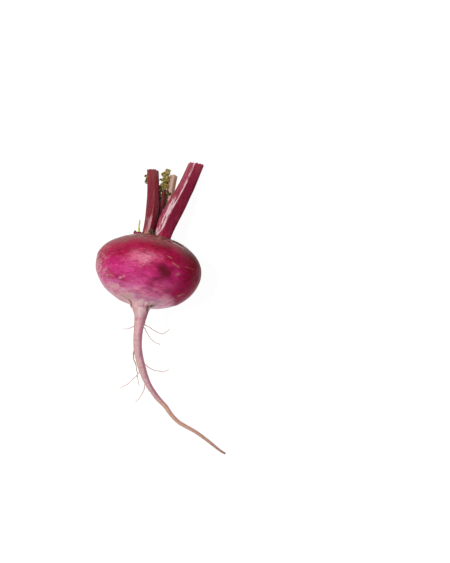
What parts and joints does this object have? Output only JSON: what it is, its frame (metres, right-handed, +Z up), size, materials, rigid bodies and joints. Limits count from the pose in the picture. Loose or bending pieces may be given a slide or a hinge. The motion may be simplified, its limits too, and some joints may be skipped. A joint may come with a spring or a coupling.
{
  "type": "turnip",
  "caption": "Flat red-skinned turnip lying on its side, with a curved tap root, fine side rootlets and cut leaf stalks.",
  "frame": {"origin": "middle of the small flat spot under the globe that it rests on", "axes": "+Z up; +Y from the tap root towards the cut leaf stalks; +X to the right for someone who looks down with the stalks pointing away"},
  "size_m": [0.0907, 0.2096, 0.0709],
  "materials": {
    "root_skin": "smooth skin, softly glossy",
    "stalk_red": "satin, finely ribbed",
    "stalk_dark": "satin",
    "stalk_pale": "satin",
    "leaf_green": "matt leaf",
    "stem_green": "satin",
    "withered": "dry and matt"
  },
  "bodies": {
    "root": {"globe_and_root": "root_skin", "stalk_right": "stalk_red", "stalk_left": "stalk_red", "stalk_leafy": "stalk_dark", "leaf_remnant": "leaf_green", "stalk_rear": "stalk_pale", "crown_stub": "stalk_dark", "stub_stem": "stem_green", "withered_leaf": "withered", "dry_fibre": "withered"}
  },
  "joints": []
}
